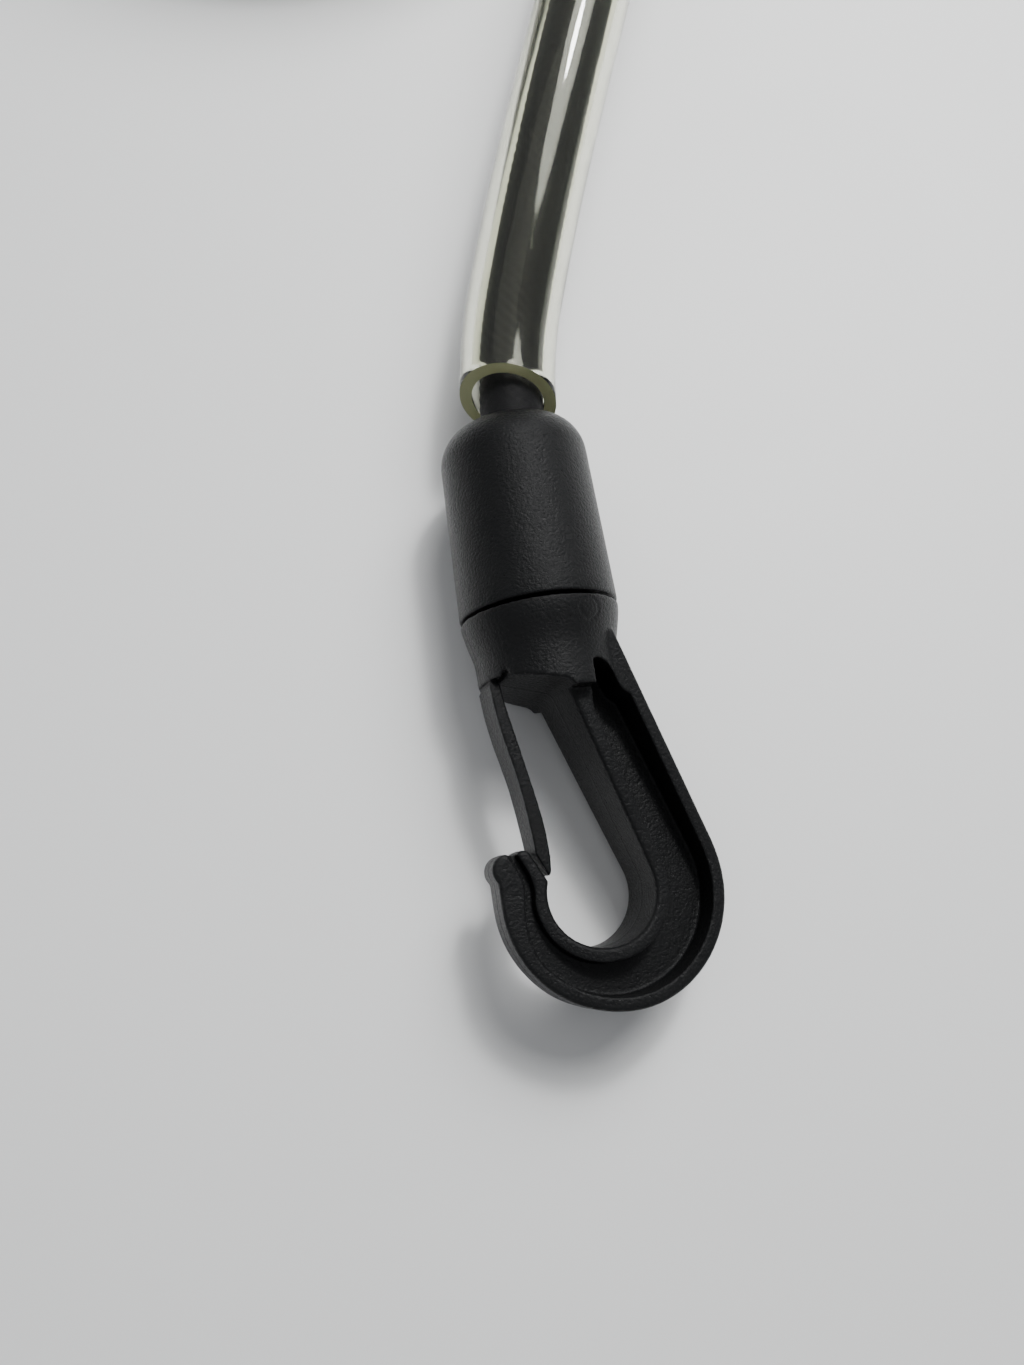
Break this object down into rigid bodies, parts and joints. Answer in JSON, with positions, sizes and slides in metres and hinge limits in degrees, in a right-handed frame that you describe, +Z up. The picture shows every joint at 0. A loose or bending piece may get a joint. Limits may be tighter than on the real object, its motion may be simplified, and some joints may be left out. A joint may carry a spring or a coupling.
{
  "type": "elastic leash with snap hooks",
  "caption": "Elastic bungee leash in a clear vinyl tube, with a black moulded snap hook and spring gate under a cap on each end; slack is coiled flat.",
  "frame": {"origin": "middle of the bottom of the box around the two hooks with their caps, on the surface that the leash lies on", "axes": "+Z up; +Y from the near hook towards the coil; the near hook points away from the coil 8.75 degrees off Y and the far hook lies inside the coil, turned half round"},
  "size_m": [0.116, 0.3059, 0.0247],
  "materials": {
    "hook": "black moulded nylon with a fine grain and a soft sheen",
    "crimp": "bent steel wire",
    "braid": "black braided polyester jacket",
    "latex": "bundle of natural latex strands",
    "sleeve": "clear soft vinyl, slightly yellowed"
  },
  "bodies": {
    "leash": {"near_hook_body": "hook", "near_cap": "hook", "near_crimp_ring": "crimp", "far_hook_body": "hook", "far_cap": "hook", "far_crimp_ring": "crimp", "lead_jacket": "braid", "lead_core": "latex", "lead_sleeve": "sleeve", "coil": "sleeve", "tail_jacket": "braid", "tail_core": "latex", "tail_sleeve": "sleeve"},
    "near_gate_arm": {"near_gate": "hook"},
    "far_gate_arm": {"far_gate": "hook"}
  },
  "joints": [
    {"name": "near_gate_hinge", "type": "hinge", "parent": "leash", "child": "near_gate_arm", "pos_m": [-0.00669, -0.10291, 0.01126], "axis": [0.2588, 0.0202, 0.9657], "range_deg": [0, 22], "stiffness_Nm_per_rad": 0.02, "springref_deg": -5.73},
    {"name": "far_gate_hinge", "type": "hinge", "parent": "leash", "child": "far_gate_arm", "pos_m": [0.00309, 0.10116, 0.01126], "axis": [-0.2588, 0.0194, 0.9657], "range_deg": [0, 22], "stiffness_Nm_per_rad": 0.02, "springref_deg": -5.73}
  ]
}
